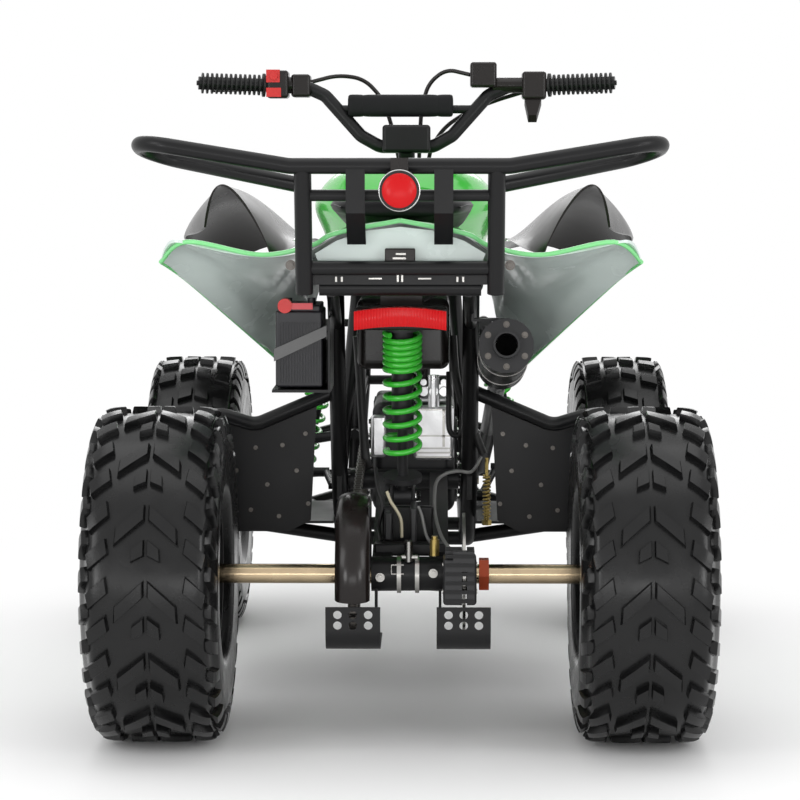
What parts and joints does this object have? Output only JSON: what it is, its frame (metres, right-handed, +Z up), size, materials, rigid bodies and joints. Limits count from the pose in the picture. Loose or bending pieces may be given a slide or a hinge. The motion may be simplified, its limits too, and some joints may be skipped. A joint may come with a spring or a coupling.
{
  "type": "sport quad bike",
  "caption": "Youth sport quad bike with knobby tyres, live rear axle, tubular frame and rear rack, green bodywork and linked steering.",
  "frame": {"origin": "on the ground, under the middle of the whole vehicle", "axes": "+X to the rider's right, +Y forward, +Z up"},
  "size_m": [0.917, 1.4706, 0.9981],
  "materials": {
    "frame_black": "satin black powder coat on steel tube",
    "green_plastic": "glossy moulded bright green plastic",
    "black_plastic": "glossy black moulded plastic",
    "soft_black": "black grained vinyl",
    "engine_alloy": "cast aluminium with machined covers",
    "intake_mix": "black plastic box and cast zinc carburettor",
    "exhaust_black": "heat-proof black paint",
    "chain_steel": "oiled steel links",
    "battery_case": "ribbed black plastic",
    "tray_steel": "black painted sheet steel",
    "axle_gold": "golden zinc passivated steel",
    "nut_orange": "orange-brown passivated steel",
    "sprocket_steel": "plain steel",
    "disc_steel": "ground stainless steel",
    "caliper_black": "black cast body",
    "spring_green": "bright green powder coat",
    "damper_steel": "black body with a hard-chromed rod",
    "rim_black": "gloss black pressed steel",
    "tyre_rubber": "black rubber, knobby",
    "grip_rubber": "ribbed black rubber",
    "pad_black": "black padded cover",
    "control_black": "black switchgear with red buttons",
    "cable_black": "black cable housing",
    "lens_red": "red ribbed lens in a black housing",
    "lamp_clear": "clear lens over a bright reflector"
  },
  "bodies": {
    "root": {"main_frame": "frame_black", "front_bumper": "frame_black", "rear_rack": "frame_black", "foot_controls": "frame_black", "rear_fender": "green_plastic", "front_fender_left": "black_plastic", "front_fender_right": "black_plastic", "tank_cover": "green_plastic", "front_cowl": "green_plastic", "headlights": "lamp_clear", "seat": "soft_black", "engine": "engine_alloy", "intake": "intake_mix", "exhaust_pipe": "exhaust_black", "silencer": "exhaust_black", "chain": "chain_steel", "battery": "battery_case", "battery_tray": "tray_steel", "swingarm": "frame_black", "rear_caliper": "caliper_black", "sprocket_cover": "black_plastic", "axle_skids": "frame_black", "rear_shock": "damper_steel", "rear_spring": "spring_green", "front_arms": "frame_black", "front_shocks": "damper_steel", "front_springs": "spring_green", "footrest_left": "frame_black", "footrest_right": "frame_black", "tail_light": "lens_red", "rear_reflector": "lens_red"},
    "steering": {"steering_stem": "frame_black", "handlebar": "frame_black", "handlebar_pad": "pad_black", "grips": "grip_rubber", "left_controls": "control_black", "right_controls": "control_black", "control_cables": "cable_black"},
    "tie_rod_left": {"tie_rod_left": "tray_steel"},
    "tie_rod_right": {"tie_rod_right": "tray_steel"},
    "knuckle_left": {"knuckle_left": "frame_black"},
    "knuckle_right": {"knuckle_right": "frame_black"},
    "front_wheel_left": {"front_tyre_left": "tyre_rubber", "front_rim_left": "rim_black"},
    "front_wheel_right": {"front_tyre_right": "tyre_rubber", "front_rim_right": "rim_black"},
    "rear_axle": {"rear_axle": "axle_gold", "axle_locknut": "nut_orange", "rear_rims": "rim_black", "rear_tyre_left": "tyre_rubber", "rear_tyre_right": "tyre_rubber", "rear_sprocket": "sprocket_steel", "brake_disc": "disc_steel"}
  },
  "joints": [
    {"name": "rear_axle_spin", "type": "hinge", "parent": "root", "child": "rear_axle", "pos_m": [0, -0.49435, 0.2413], "axis": [1, 0, 0], "continuous": true},
    {"name": "steering", "type": "hinge", "parent": "root", "child": "steering", "pos_m": [0, 0.40678, 0.3], "axis": [0, -0.4226, 0.9063], "range_deg": [-33, 33]},
    {"name": "kingpin_left", "type": "hinge", "parent": "root", "child": "knuckle_left", "pos_m": [-0.28, 0.47565, 0.2413], "axis": [0, -0.1045, 0.9945], "range_deg": [-33, 33]},
    {"name": "front_wheel_spin_left", "type": "hinge", "parent": "knuckle_left", "child": "front_wheel_left", "pos_m": [-0.376, 0.47565, 0.2413], "axis": [1, 0, 0], "continuous": true},
    {"name": "tie_rod_pin_left", "type": "hinge", "parent": "steering", "child": "tie_rod_left", "pos_m": [-0.012, 0.36147, 0.27887], "axis": [0, -0.4226, 0.9063], "range_deg": [-33, 33]},
    {"name": "kingpin_right", "type": "hinge", "parent": "root", "child": "knuckle_right", "pos_m": [0.28, 0.47565, 0.2413], "axis": [0, -0.1045, 0.9945], "range_deg": [-33, 33]},
    {"name": "front_wheel_spin_right", "type": "hinge", "parent": "knuckle_right", "child": "front_wheel_right", "pos_m": [0.376, 0.47565, 0.2413], "axis": [1, 0, 0], "continuous": true},
    {"name": "tie_rod_pin_right", "type": "hinge", "parent": "steering", "child": "tie_rod_right", "pos_m": [0.012, 0.36147, 0.27887], "axis": [0, -0.4226, 0.9063], "range_deg": [-33, 33]}
  ],
  "couplings": [
    {"joint": "kingpin_left", "follows": "steering", "ratio": 1},
    {"joint": "tie_rod_pin_left", "follows": "steering", "ratio": -1},
    {"joint": "kingpin_right", "follows": "steering", "ratio": 1},
    {"joint": "tie_rod_pin_right", "follows": "steering", "ratio": -1}
  ]
}
